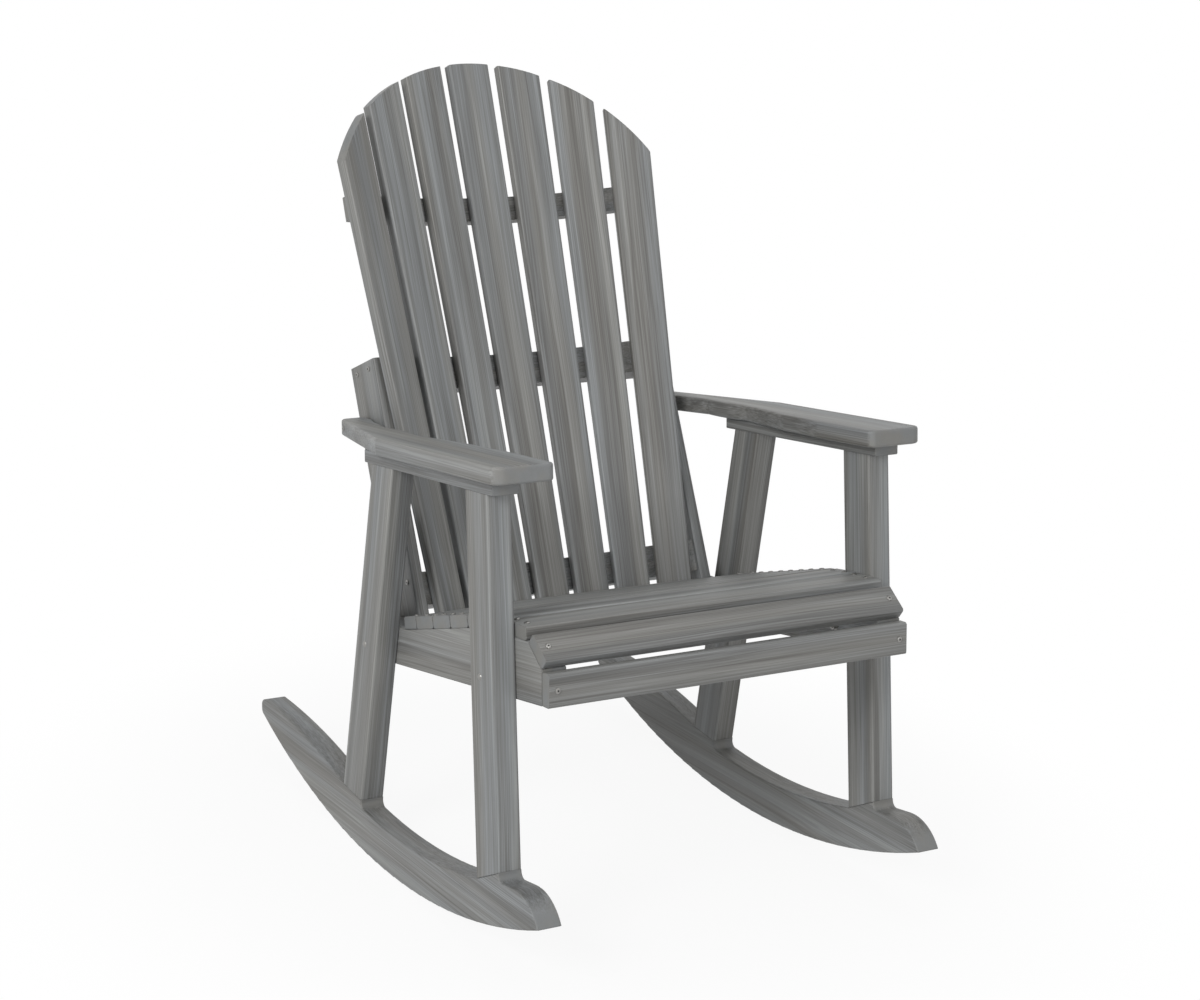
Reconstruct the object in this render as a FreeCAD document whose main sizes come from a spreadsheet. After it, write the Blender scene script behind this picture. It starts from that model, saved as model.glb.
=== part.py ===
"""Rocking adirondack chair: poly-lumber boards on a pair of curved rockers.

Millimetres and degrees. +X is the sitter's left, the chair faces -Y and +Z is up. The chair is drawn with Y = 0
over the line where its rockers meet the floor and its front legs nearly upright. It is then rocked back to the
pitch at which it rests when empty, and placed with its origin on the floor under its middle.
"""
import FreeCAD, Part
import math
import os
import re

import Sketcher
from FreeCAD import Placement, Rotation, Vector

doc = FreeCAD.newDocument("rocking_adirondack_chair")
sheet = doc.addObject("Spreadsheet::Sheet", "sizes")

# Driving sizes. Places are heights above the floor, and distances behind the rockers' line of contact, as drawn.
SIZES = {
    "rest_pitch": 7.79,
    # side frames
    "rocker_radius": 1150, "rocker_band": 61.5, "toe_reach": 347, "tail_reach": 560,
    "toe_crest_back": 280, "toe_crest_height": 91, "toe_step_height": 88.5, "toe_round": 70,
    "tail_rise": 7.2, "tail_tip": 22.9, "tail_top_round": 1330, "tail_nose_round": 10,
    "leg_fillet": 10, "leg_seat_rise": 13, "leg_thickness": 38, "leg_depth": 63.5, "frame_inner": 298,
    "front_leg_foot": -242.2, "front_leg_lean": 2.45, "rear_leg_foot": 212, "rear_leg_lean": -12.98,
    # armrests and their supports
    "support_height": 615.35, "support_slope": 1.23, "support_thickness": 19, "support_width": 41,
    "support_front_overhang": 18, "support_rear_overhang": 20,
    "arm_thickness": 25, "arm_inner": 260.5, "arm_outer": 354, "arm_front": -271, "arm_rear": 321,
    "arm_waist_start": -140, "arm_waist_end": -45, "arm_waist_shift": 6.5, "arm_bow_start": 85,
    "arm_bow_out": 286.5, "arm_bow_end": 192, "arm_bow_in": 284, "arm_hip_y": 257, "arm_hip_x": 271.5,
    "arm_lap_start": 290, "arm_tail_width": 38, "arm_waist_round": 650, "arm_bow_round": 321,
    "arm_outer_corner": 17, "arm_inner_corner": 10, "arm_tail_corner": 12,
    # seat rails
    "rail_thickness": 38, "rail_front": -295, "rail_bottom": 342, "rail_bottom_slope": 4.41,
    "rail_nose_height": 391, "rail_top": 422.3, "rail_nose_back": -258, "rail_rear": 236,
    # seat
    "seat_half_width": 297, "seat_thickness": 19, "seat_gap": 2, "seat_start": -252, "nose_width": 57.8,
    "seat_slat_width": 52.5, "last_slat_width": 38, "second_slope": 4, "seat_slope": 12,
    "back_clearance": 14, "front_slat_width": 47, "apron_height": 47, "apron_thickness": 19, "edge_round": 4,
    # back
    "back_height": 450, "back_front": 214.8, "recline": 18.3, "back_radius": 514.7, "back_flare": 9.38,
    "slat_step": 7.69, "slat_thickness": 19, "slat_below": 110, "slat_above": 780,
    "slat_foot_width": 54.6, "slat_crown_width": 71.4, "arch_crown": 775, "arch_radius": 302,
    "cross_rail_thickness": 25, "top_rail_thickness": 38, "lower_rail_height": 376.4, "middle_rail_place": 253.8,
    "top_rail_place": 520.4, "rail_waist": 34, "top_rail_depth": 24, "top_rail_half_length": 262, "rail_fit": 0.1,
    # uprights
    "upright_thickness": 19, "upright_depth": 86.5, "upright_foot": -2.5, "upright_lean": 20.9,
    # fasteners
    "screw_radius": 2.2, "screw_head_radius": 4.2, "screw_head_height": 1.8, "screw_head_crown": 2.9,
    "screw_drive": 2.4,
    "seat_screw_length": 42, "seat_screw_place": 284, "seat_screw_spread": 28, "nose_screw_shift": 6,
    "slat_screw_length": 36, "slat_screw_grip": 24, "slat_screw_inset": 4, "slat_screw_room": 140,
    "rail_screw_length": 40, "middle_rail_screw_front": -6, "middle_rail_screw_rear": 36,
    "lower_rail_screw_front": -26, "lower_rail_screw_rear": 14,
    "stack_screw_length": 42, "stack_screw_back": 40, "stack_screw_pitch": 78,
    "support_screw_length": 50, "support_screw_spread": 30, "arm_screw_length": 36,
    "arm_screw_first": -120, "arm_screw_pitch": 80, "arm_side_screw_length": 56, "arm_side_screw_back": 300,
    "upright_screw_length": 45, "upright_screw_back": 22, "upright_screw_fall": 13,
    "bolt_radius": 3, "bolt_head_radius": 5, "bolt_head_height": 2.4,
    "front_bolt_back": -191.4, "front_bolt_height": 364.9, "rear_bolt_back": 169, "rear_bolt_height": 337,
    "nut_width": 10, "nut_height": 5, "washer_radius": 7, "washer_thickness": 1.2, "bolt_spare": 3,
    "lag_radius": 3.5, "lag_head_radius": 6.5, "lag_head_height": 4, "lag_length": 80, "lag_counterbore": 24,
    "lag_bore_length": 48,
    "lag_spread": 26, "drill_clearance": 0.1, "head_clearance": 0.4,
}
for row, (name, value) in enumerate(SIZES.items(), start=1):
    sheet.set(f"A{row}", name)
    sheet.set(f"B{row}", str(value))
    sheet.setAlias(f"B{row}", name)
doc.recompute()

SIZE_NAME = re.compile(r"\b(" + "|".join(sorted(SIZES, key=len, reverse=True)) + r")\b")
SIDES = {"left": 1, "right": -1}


def bound(text):
    """The sheet's own form of an expression written with bare size names."""
    return SIZE_NAME.sub(r"sizes.\1", str(text))


def worth(text):
    """What an expression is worth now."""
    result = sheet.evalExpression(bound(text))
    return float(getattr(result, "Value", result))


# Sketches and boards

def origin_plane(body, role):
    return next(plane for plane in body.Origin.OriginFeatures if plane.Role == role)


def arc_between(start, end, radius, side):
    """The arc of this radius from start to end, its centre on the left (side 1) or right (side -1) of the way."""
    chord = end - start
    rise = math.sqrt(radius ** 2 - chord.Length ** 2 / 4)
    left = Vector(-chord.y, chord.x, 0).normalize()
    centre = (start + end) * 0.5 + left * rise * side
    circle = Part.Circle(centre, Vector(0, 0, 1), radius)
    angles = [math.atan2(point.y - centre.y, point.x - centre.x) for point in (start, end)]
    return Part.ArcOfCircle(circle, *(angles if side > 0 else reversed(angles)))


def outline(body, role, corners, offset="0"):
    """A closed sketch. A corner is (across, up) or, where an arc leaves it, (across, up, radius, side)."""
    sketch = body.newObject("Sketcher::SketchObject", body.Name + "_outline")
    sketch.AttachmentSupport = [(origin_plane(body, role), "")]
    sketch.MapMode = "FlatFace"
    sketch.setExpression("AttachmentOffset.Base.z", bound(offset))
    points = [Vector(worth(corner[0]), worth(corner[1]), 0) for corner in corners]
    first, last = [], []
    for number, corner in enumerate(corners):
        start, end = points[number], points[(number + 1) % len(corners)]
        if len(corner) == 4:
            curve = arc_between(start, end, worth(corner[2]), corner[3])
            sketch.addGeometry(curve, False)
            radius = sketch.addConstraint(Sketcher.Constraint("Radius", number, worth(corner[2])))
            sketch.setExpression(f"Constraints[{radius}]", bound(corner[2]))
            first.append(1 if corner[3] > 0 else 2)
        else:
            sketch.addGeometry(Part.LineSegment(start, end), False)
            first.append(1)
        last.append(3 - first[-1])
    for number, corner in enumerate(corners):
        following = (number + 1) % len(corners)
        sketch.addConstraint(Sketcher.Constraint("Coincident", number, last[number], following, first[following]))
        for kind, text in (("DistanceX", corner[0]), ("DistanceY", corner[1])):
            place = sketch.addConstraint(Sketcher.Constraint(kind, -1, 1, number, first[number], worth(text)))
            sketch.setExpression(f"Constraints[{place}]", bound(text))
    return sketch


def board(label, role, corners, thickness, offset="0", reversed_pad=False, centred=False, placement=None):
    """A board sawn to an outline, as a body."""
    body = doc.addObject("PartDesign::Body", label + "_board")
    sketch = outline(body, role, corners, offset)
    pad = body.newObject("PartDesign::Pad", label + "_pad")
    pad.Profile = sketch
    pad.setExpression("Length", bound(thickness))
    pad.Reversed = reversed_pad
    pad.Midplane = centred
    if placement is not None:
        body.Placement = placement
    doc.recompute()
    return body


def round_edges(body, chosen, radius):
    """Rounds the edges that the test picks from the body's last feature."""
    base = body.Tip
    local = base.Shape
    names = [f"Edge{number}" for number, edge in enumerate(local.Edges, start=1) if chosen(edge)]
    fillet = body.newObject("PartDesign::Fillet", body.Name + "_rounding")
    fillet.Base = (base, names)
    fillet.setExpression("Radius", bound(radius))
    doc.recompute()
    return body


def straight_along(direction):
    """Picks straight edges along a direction."""
    def chosen(edge):
        if edge.Curve.TypeId != "Part::GeomLine":
            return False
        return abs(abs(edge.tangentAt(edge.FirstParameter).dot(direction)) - 1) < 1e-4
    return chosen


def upright_edge_at(*places):
    """Picks the edges square to a sketch at these places, each (axis, value, axis, value)."""
    def chosen(edge):
        if edge.Curve.TypeId != "Part::GeomLine":
            return False
        ends = [vertex.Point for vertex in edge.Vertexes]
        return any(all(abs(getattr(end, axis) - value) < 0.01 for end in ends for axis, value in place.items())
                   for place in places)
    return chosen


def rim(axis, *places):
    """Picks the edges that lie flat in a board's faces, at these places along the axis through it."""
    def chosen(edge):
        low, high = getattr(edge.BoundBox, axis + "Min"), getattr(edge.BoundBox, axis + "Max")
        return any(abs(low - place) < 0.01 and abs(high - place) < 0.01 for place in places)
    return chosen


X_AXIS = Vector(1, 0, 0)
boards = {}


# Lines that several boards share, as expressions

def face_line(foot, lean, height):
    """How far back a leaning board's face is at a height."""
    return f"({foot} + tan({lean}) * ({height}))"


def back_face(foot, lean, depth):
    return f"({foot} + {depth} / cos({lean}))"


def meets_support(foot, lean):
    """Where a leaning face meets the underside of the arm support."""
    height = f"((support_height - tan(support_slope) * {foot}) / (1 + tan(support_slope) * tan({lean})))"
    return face_line(foot, lean, height), height


def underside(back):
    """Height of the rocker's curved underside."""
    return f"(rocker_radius - sqrt(rocker_radius^2 - ({back})^2))"


def band_top(back):
    """Height of the rocker's upper edge, which follows its lower one."""
    return f"(rocker_radius - sqrt((rocker_radius - rocker_band)^2 - ({back})^2))"


def on_support(back, lift="0"):
    return f"(support_height - tan(support_slope) * ({back}) + ({lift}) / cos(support_slope))"


FRONT_FACE = ("front_leg_foot", "front_leg_lean")
FRONT_BACK_FACE = (back_face("front_leg_foot", "front_leg_lean", "leg_depth"), "front_leg_lean")
REAR_FACE = ("rear_leg_foot", "rear_leg_lean")
REAR_BACK_FACE = (back_face("rear_leg_foot", "rear_leg_lean", "leg_depth"), "rear_leg_lean")
front_seat_heights = ("(toe_step_height + leg_seat_rise)", band_top(FRONT_BACK_FACE[0]))
rear_band = band_top(face_line(*REAR_FACE, "rocker_band"))
rear_seat_heights = (f"({rear_band} + leg_seat_rise)", f"({band_top(REAR_BACK_FACE[0])} + tail_rise)")


def leg_corners(front, back, seat_heights):
    """A leg's side view: up from its sloping seat on the rocker to the arm support."""
    return [
        (face_line(*front, seat_heights[0]), seat_heights[0]),
        (face_line(*back, seat_heights[1]), seat_heights[1]),
        meets_support(*back),
        meets_support(*front),
    ]


# Side frames

def rocker_corners():
    """A rocker's side view: toe tip, under to the tail, and back along the top with both leg seats."""
    front_high, front_low = front_seat_heights
    rear_high, rear_low = rear_seat_heights
    return [
        ("-toe_reach", underside("toe_reach"), "rocker_radius", 1),
        ("tail_reach", underside("tail_reach")),
        ("tail_reach", f"({underside('tail_reach')} + tail_tip)", "tail_top_round", 1),
        (face_line(*REAR_BACK_FACE, rear_low), rear_low),
        (face_line(*REAR_FACE, rear_high), rear_high),
        (face_line(*REAR_FACE, rear_band), rear_band, "rocker_radius - rocker_band", -1),
        (face_line(*FRONT_BACK_FACE, front_low), front_low),
        (face_line(*FRONT_FACE, front_high), front_high),
        (face_line(*FRONT_FACE, "toe_step_height"), "toe_step_height"),
        ("-toe_crest_back", "toe_crest_height", "toe_round", 1),
    ]


def at_corner(corner):
    return {"y": worth(corner[0]), "z": worth(corner[1])}


for side, sign in SIDES.items():
    offset = f"{sign} * frame_inner"
    outward = {"offset": offset, "reversed_pad": sign < 0}
    corners = rocker_corners()
    rocker = board(f"rocker_{side}", "YZ_Plane", corners, "leg_thickness", **outward)
    round_edges(rocker, upright_edge_at(at_corner(corners[5]), at_corner(corners[8])), "leg_fillet")
    round_edges(rocker, upright_edge_at(at_corner(corners[1]), at_corner(corners[2])), "tail_nose_round")
    faces = worth(offset), worth(f"{sign} * (frame_inner + leg_thickness)")
    round_edges(rocker, rim("X", *faces), "edge_round / 2")
    boards[f"rocker_{side}"] = rocker
    for name, front, back, heights in (
        ("front_leg", FRONT_FACE, FRONT_BACK_FACE, front_seat_heights),
        ("rear_leg", REAR_FACE, REAR_BACK_FACE, rear_seat_heights),
    ):
        leg = board(f"{name}_{side}", "YZ_Plane", leg_corners(front, back, heights), "leg_thickness", **outward)
        lean = math.radians(worth(front[1]))
        round_edges(leg, straight_along(Vector(0, math.sin(lean), math.cos(lean))), "edge_round")
        boards[f"{name}_{side}"] = leg


# Arm supports and armrests

front_end = f"({meets_support(*FRONT_FACE)[0]} - support_front_overhang)"
rear_end = f"({meets_support(*REAR_BACK_FACE)[0]} + support_rear_overhang)"
slope = math.radians(worth("support_slope"))
SLOPE_ALONG = Vector(0, math.cos(slope), -math.sin(slope))
SLOPE_UP = Vector(0, math.sin(slope), math.cos(slope))
for side, sign in SIDES.items():
    corners = [
        (front_end, on_support(front_end)),
        (rear_end, on_support(rear_end)),
        (rear_end, on_support(rear_end, "support_thickness")),
        (front_end, on_support(front_end, "support_thickness")),
    ]
    start = f"{sign} * (frame_inner + leg_thickness / 2 - support_width / 2)"
    support = board(
        f"arm_support_{side}", "YZ_Plane", corners, "support_width", offset=start, reversed_pad=sign < 0)
    boards[f"arm_support_{side}"] = round_edges(support, straight_along(SLOPE_ALONG), "edge_round / 2")


def arm_corners(sign):
    """An armrest's plan, drawn for one side. Distances back are along its slope."""
    plan = [
        ("arm_inner", "arm_front"),
        ("arm_outer", "arm_front"),
        ("arm_outer", "arm_bow_start"),
        ("arm_inner + arm_tail_width", "arm_rear"),
        ("arm_inner", "arm_rear"),
        ("arm_inner", "arm_lap_start"),
        ("arm_hip_x", "arm_hip_y"),
        ("arm_bow_in", "arm_bow_end", "arm_bow_round", 1),
        ("arm_bow_out", "arm_bow_start"),
        ("arm_inner + arm_waist_shift", "arm_waist_end", "arm_waist_round", -1),
        ("arm_inner", "arm_waist_start"),
    ]
    return [(f"{sign} * ({across})", back, *arc[:1], *[turn * sign for turn in arc[1:]])
            for across, back, *arc in plan]


for side, sign in SIDES.items():
    lift = Placement(Vector(0, 0, worth("support_height + support_thickness / cos(support_slope)")),
                     Rotation(X_AXIS, -worth("support_slope")))
    arm = board(f"armrest_{side}", "XY_Plane", arm_corners(sign), "arm_thickness", placement=lift)
    for across, back, radius in (
        ("arm_outer", "arm_front", "arm_outer_corner"),
        ("arm_inner", "arm_front", "arm_inner_corner"),
        ("arm_inner + arm_tail_width", "arm_rear", "arm_tail_corner"),
    ):
        round_edges(arm, upright_edge_at({"x": sign * worth(across), "y": worth(back)}), radius)
    round_edges(arm, rim("Z", 0, worth("arm_thickness")), "edge_round")
    boards[f"armrest_{side}"] = arm


# Seat rails

def rail_bottom_at(back):
    return f"(rail_bottom - tan(rail_bottom_slope) * ({back} - rail_front))"


SLAT_STARTS = {"nose_slat": ("seat_start", "rail_top")}


def next_start(start, width, slope):
    """Where the next slat starts, given this one's start on the rail, its width and its slope."""
    reach = f"({width} + seat_gap)"
    return f"({start[0]} + {reach} * cos({slope}))", f"({start[1]} - {reach} * sin({slope}))"


SLAT_SIZES = {"nose_slat": ("nose_width", "0"), "seat_slat_1": ("seat_slat_width", "second_slope")}
SLAT_SIZES.update({f"seat_slat_{number}": ("seat_slat_width", "seat_slope") for number in range(2, 6)})
SLAT_SIZES["seat_slat_6"] = ("last_slat_width", "seat_slope")
start = ("seat_start", "rail_top")
for name, (width, tilt) in SLAT_SIZES.items():
    SLAT_STARTS[name] = start
    start = next_start(start, width, tilt)

first_bend, second_bend = SLAT_STARTS["seat_slat_1"], SLAT_STARTS["seat_slat_2"]
seat_end = next_start(SLAT_STARTS["seat_slat_6"], "last_slat_width", "seat_slope")
for side, sign in SIDES.items():
    corners = [
        ("rail_front", "rail_bottom"),
        ("rail_rear", rail_bottom_at("rail_rear")),
        ("rail_rear", seat_end[1]),
        seat_end,
        second_bend,
        first_bend,
        ("rail_nose_back", "rail_top"),
        ("rail_front", "rail_nose_height"),
    ]
    start = f"{sign} * (frame_inner - rail_thickness)"
    rail = board(
        f"seat_rail_{side}", "YZ_Plane", corners, "rail_thickness", offset=start, reversed_pad=sign < 0)
    boards[f"seat_rail_{side}"] = rail


# Seat slats: local X across, Y down the slope, Z out of the top face, with the underside's front edge at the origin

def tilted(place, tilt):
    """The placement of a slat whose underside starts at this place and falls rearward at this slope."""
    return Placement(Vector(0, worth(place[0]), worth(place[1])), Rotation(X_AXIS, -worth(tilt)))


def plain_slat(label, width, thickness, placement):
    corners = [
        ("-seat_half_width", "0"), ("seat_half_width", "0"),
        ("seat_half_width", width), ("-seat_half_width", width),
    ]
    slat = board(label, "XY_Plane", corners, thickness, placement=placement)
    return round_edges(slat, straight_along(X_AXIS), "edge_round")


for name, (width, tilt) in SLAT_SIZES.items():
    if name != "seat_slat_6":
        boards[name] = plain_slat(name, width, "seat_thickness", tilted(SLAT_STARTS[name], tilt))

# The last slat's rear edge bulges to follow the hollow of the back, at a clearance from it.
last_start = SLAT_STARTS["seat_slat_6"]
last_height = f"({last_start[1]} + seat_thickness)"
last_reach = f"(back_front + tan(recline) * ({last_height} - back_height) - back_clearance - {last_start[0]})"
last_middle = f"({last_reach} / (cos(seat_slope) + tan(recline) * sin(seat_slope)))"
last_curve = f"(back_radius + tan(back_flare) * ({last_height} - back_height) / cos(recline) - back_clearance)"
bulge_half = f"sqrt({last_curve}^2 - ({last_curve} - {last_middle} + last_slat_width)^2)"
corners = [
    ("-seat_half_width", "0"), ("seat_half_width", "0"), ("seat_half_width", "last_slat_width"),
    (bulge_half, "last_slat_width", last_curve, 1), (f"-{bulge_half}", "last_slat_width"),
    ("-seat_half_width", "last_slat_width"),
]
last_slat = board(
    "seat_slat_6", "XY_Plane", corners, "seat_thickness", placement=tilted(last_start, "seat_slope"))
boards["seat_slat_6"] = round_edges(last_slat, rim("Z", 0, worth("seat_thickness")), "edge_round / 2")

# The board under the nose lies on the rails' slanted corner, and the apron on their front ends.
nose_fall = "atan2(rail_top - rail_nose_height; rail_nose_back - rail_front)"
nose_length = "sqrt((rail_top - rail_nose_height)^2 + (rail_nose_back - rail_front)^2)"
nose_inset = f"(({nose_length} - front_slat_width) / 2)"
slant_start = (f"(rail_front + {nose_inset} * cos({nose_fall}))",
               f"(rail_nose_height + {nose_inset} * sin({nose_fall}))")
boards["slanted_front_slat"] = plain_slat(
    "slanted_front_slat", "front_slat_width", "seat_thickness", tilted(slant_start, f"-{nose_fall}"))
apron_place = Placement(Vector(0, worth("rail_front"), worth("rail_bottom")), Rotation(X_AXIS, 90))
boards["front_apron"] = plain_slat("front_apron", "apron_height", "apron_thickness", apron_place)


# Back: slats along the lines of a cone whose axis lies in front of them

recline = math.radians(worth("recline"))
BACK_UP = Vector(0, math.sin(recline), math.cos(recline))
BACK_OUT = Vector(0, math.cos(recline), -math.sin(recline))
BACK_ORIGIN = Vector(0, worth("back_front"), worth("back_height"))
BACK_FRAME = Placement(BACK_ORIGIN, Rotation(X_AXIS, -worth("recline")))


def curve_radius(place):
    return f"(back_radius + tan(back_flare) * ({place}))"


def back_point(place, turn, behind):
    """A point of the back at a distance up it, a turn round it and a distance behind the slats' front."""
    radius = worth(curve_radius(place))
    reach, angle = radius + worth(behind), math.radians(turn)
    return BACK_ORIGIN + X_AXIS * reach * math.sin(angle) + BACK_OUT * (reach * math.cos(angle) - radius) \
        + BACK_UP * worth(place)


def slat_placement(turn):
    """The frame of a back slat: local X across it, Z up it and Y through it, at its front."""
    base = back_point("0", turn, "0")
    upward = (back_point("slat_above", turn, "0") - base).normalize()
    angle = math.radians(turn)
    across = X_AXIS * math.cos(angle) - BACK_OUT * math.sin(angle)
    across = (across - upward * across.dot(upward)).normalize()
    return Placement(base, Rotation(across, Vector(), upward, "ZXY"))


def slat_width_at(place):
    along = f"(({place} + slat_below) / (slat_below + slat_above))"
    return f"(slat_foot_width + (slat_crown_width - slat_foot_width) * {along})"


def arch_corner(placement, side):
    """Where a slat's edge meets the arch that crowns the back, in the slat's own frame."""
    radius, crown = worth("arch_radius"), worth("arch_crown")
    height = crown
    for _ in range(20):
        across = side * worth(slat_width_at(height)) / 2
        point = placement.multVec(Vector(across, 0, height)) - BACK_ORIGIN
        height += crown - radius + math.sqrt(radius ** 2 - point.x ** 2) - point.dot(BACK_UP)
    return across, height


for number in range(1, 8):
    label = f"back_slat_{number}"
    turn = (number - 4) * worth("slat_step")
    placement = slat_placement(turn)
    corners = [
        ("-slat_foot_width / 2", "-slat_below"), ("slat_foot_width / 2", "-slat_below"),
        (*arch_corner(placement, 1), f"(arch_radius / cos({turn})^2)", 1), arch_corner(placement, -1),
    ]
    slat = board(label, "XZ_Plane", corners, "slat_thickness", reversed_pad=True, placement=placement)
    boards[label] = round_edges(slat, lambda edge: edge.Length > worth("slat_above") / 2, "edge_round")


# Cross rails: local X across, Y rearward and Z up the back

def cross_rail(label, place, thickness, half_length, rear_corners):
    """A rail whose front edge is hollowed to the curve of the slats' backs."""
    top = f"({place} + {thickness})"
    radius = curve_radius(top)
    seat_curve = f"(sqrt(({radius} + slat_thickness)^2 + ({slat_width_at(top)} / 2 - edge_round)^2) + rail_fit)"
    front = f"(sqrt({seat_curve}^2 - {half_length}^2) - {radius})"
    corners = [*rear_corners(radius, seat_curve), (f"-{half_length}", front, seat_curve, -1), (half_length, front)]
    return board(label, "XY_Plane", corners, thickness, offset=place, placement=BACK_FRAME)


def straight_rear(half_length):
    return lambda radius, seat_curve: [
        (half_length, "slat_thickness + rail_waist"), (f"-{half_length}", "slat_thickness + rail_waist")]


def curved_rear(radius, seat_curve):
    outer = f"({seat_curve} + top_rail_depth)"
    rear = f"(sqrt({outer}^2 - top_rail_half_length^2) - {radius})"
    return [("top_rail_half_length", rear, outer, 1), ("-top_rail_half_length", rear)]


between_uprights = "(frame_inner - rail_thickness - upright_thickness)"
PAIR_PLACES = {"lower": "((lower_rail_height - back_height) / cos(recline))", "mid": "middle_rail_place"}
RAIL_PLACES = {}
for pair, place in PAIR_PLACES.items():
    RAIL_PLACES[f"{pair}_back_rail_lower"] = (place, "cross_rail_thickness")
    RAIL_PLACES[f"{pair}_back_rail_upper"] = (f"({place} + cross_rail_thickness)", "cross_rail_thickness")
for label, (place, thickness) in RAIL_PLACES.items():
    boards[label] = cross_rail(label, place, thickness, between_uprights, straight_rear(between_uprights))
RAIL_PLACES["top_back_rail"] = ("top_rail_place", "top_rail_thickness")
boards["top_back_rail"] = cross_rail(
    "top_back_rail", "top_rail_place", "top_rail_thickness", "top_rail_half_length", curved_rear)


# Uprights: inside the seat rails and armrests, from the rails' undersides up to the top of the middle cross rail

def upright_foot_corner(foot):
    height = f"((rail_bottom - tan(rail_bottom_slope) * ({foot} - rail_front))" \
             f" / (1 + tan(rail_bottom_slope) * tan(upright_lean)))"
    return face_line(foot, "upright_lean", height), height


def upright_top_corner(foot):
    reach = "(middle_rail_place + 2 * cross_rail_thickness)"
    height = f"(({reach} + back_height * cos(recline) + (back_front - {foot}) * sin(recline))" \
             f" / (cos(recline) + tan(upright_lean) * sin(recline)))"
    return face_line(foot, "upright_lean", height), height


upright_back = back_face("upright_foot", "upright_lean", "upright_depth")
for side, sign in SIDES.items():
    corners = [
        upright_foot_corner("upright_foot"), upright_foot_corner(upright_back),
        upright_top_corner(upright_back), upright_top_corner("upright_foot"),
    ]
    start = f"{sign} * {between_uprights}"
    upright = board(
        f"back_upright_{side}", "YZ_Plane", corners, "upright_thickness", offset=start, reversed_pad=sign < 0)
    lean = math.radians(worth("upright_lean"))
    boards[f"back_upright_{side}"] = round_edges(
        upright, straight_along(Vector(0, math.sin(lean), math.cos(lean))), "edge_round")


# Fasteners: each is made with its head's seat at the origin and its shank down -Z

def aimed(point, direction):
    """A fastener's placement, with its head's seat at a point and its shank along a direction."""
    return Placement(point, Rotation(Vector(0, 0, -1), direction))


def shank(radius, length):
    return Part.makeCylinder(radius, length, Vector(0, 0, -length))


def pan_screw(length):
    """A screw with a low domed head and a square drive."""
    head, tall, drive = worth("screw_head_radius"), worth("screw_head_height"), worth("screw_drive")
    body = shank(worth("screw_radius"), length).fuse(Part.makeCylinder(head, tall / 2))
    body = body.fuse(Part.makeCone(head, worth("screw_head_crown"), tall / 2, Vector(0, 0, tall / 2)))
    socket = Part.makeBox(drive, drive, tall, Vector(-drive / 2, -drive / 2, tall / 2))
    return body.cut(socket).removeSplitter()


def flush_screw(length):
    """A screw whose head sinks flush with the board."""
    radius, head = worth("screw_radius"), worth("screw_head_radius")
    sunk = Part.makeCone(radius, head, head - radius, Vector(0, 0, radius - head))
    return shank(radius, length).fuse(sunk).removeSplitter()


def dome_bolt(length):
    """A bolt with a low round head."""
    radius, head, tall = worth("bolt_radius"), worth("bolt_head_radius"), worth("bolt_head_height")
    ball = (head ** 2 + tall ** 2) / (2 * tall)
    dome = Part.makeSphere(ball, Vector(0, 0, tall - ball)).common(Part.makeCylinder(head, tall))
    return shank(radius, length).fuse(dome).removeSplitter()


def hexagon(width, height, place):
    """A hexagonal prism, as wide as this across its flats."""
    reach = width / math.sqrt(3)
    turns = [math.radians(turn) for turn in range(0, 361, 60)]
    corners = [Vector(reach * math.cos(turn), reach * math.sin(turn), place) for turn in turns]
    return Part.Face(Part.makePolygon(corners)).extrude(Vector(0, 0, height))


def lag_screw(length):
    """A hex-headed lag screw."""
    head = hexagon(2 * worth("lag_head_radius") * math.cos(math.pi / 6), worth("lag_head_height"), 0)
    return shank(worth("lag_radius"), length).fuse(head).removeSplitter()


def nut_and_washer():
    """A washer with its face at the origin and a nut on it, as two solids."""
    bore = worth("bolt_radius + drill_clearance")
    thin, tall = worth("washer_thickness"), worth("nut_height")
    hole = Part.makeCylinder(bore, thin + tall, Vector(0, 0, 0))
    washer = Part.makeCylinder(worth("washer_radius"), thin).cut(hole)
    return [washer, hexagon(worth("nut_width"), tall, thin).cut(hole)]


def shank_hole(radius_name, length, head_radius, head_depth=0.0, flush=False):
    """What is drilled for a fastener: its shank, and room for its head."""
    clear = worth("drill_clearance")
    radius = worth(radius_name) + clear
    hole = Part.makeCylinder(radius, length + clear, Vector(0, 0, -length - clear))
    if flush:
        sunk = worth(head_radius) - worth(radius_name)
        hole = hole.fuse(Part.makeCone(radius, radius + sunk, sunk, Vector(0, 0, -sunk)))
    if head_depth:
        hole = hole.fuse(Part.makeCylinder(worth(head_radius) + worth("head_clearance"), head_depth))
    return hole


fasteners, holes = {}, []


def fit(label, shapes, hole, placements):
    """Places one kind of fastener, and remembers the holes drilled for it."""
    solids = []
    for placement in placements:
        for shape in shapes:
            solid = shape.copy()
            solid.Placement = placement
            solids.append(solid)
        if hole is not None:
            drilled = hole.copy()
            drilled.Placement = placement
            holes.append(drilled)
    group = doc.addObject("Part::Feature", label)
    group.Shape = Part.makeCompound(solids)
    fasteners[label] = group


def local_points(name, points):
    """Points of a seat board's top face, placed, with the direction into the board."""
    frame = boards[name].Placement
    into = frame.Rotation.multVec(Vector(0, 0, -1))
    return [aimed(frame.multVec(point), into) for point in points]


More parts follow.
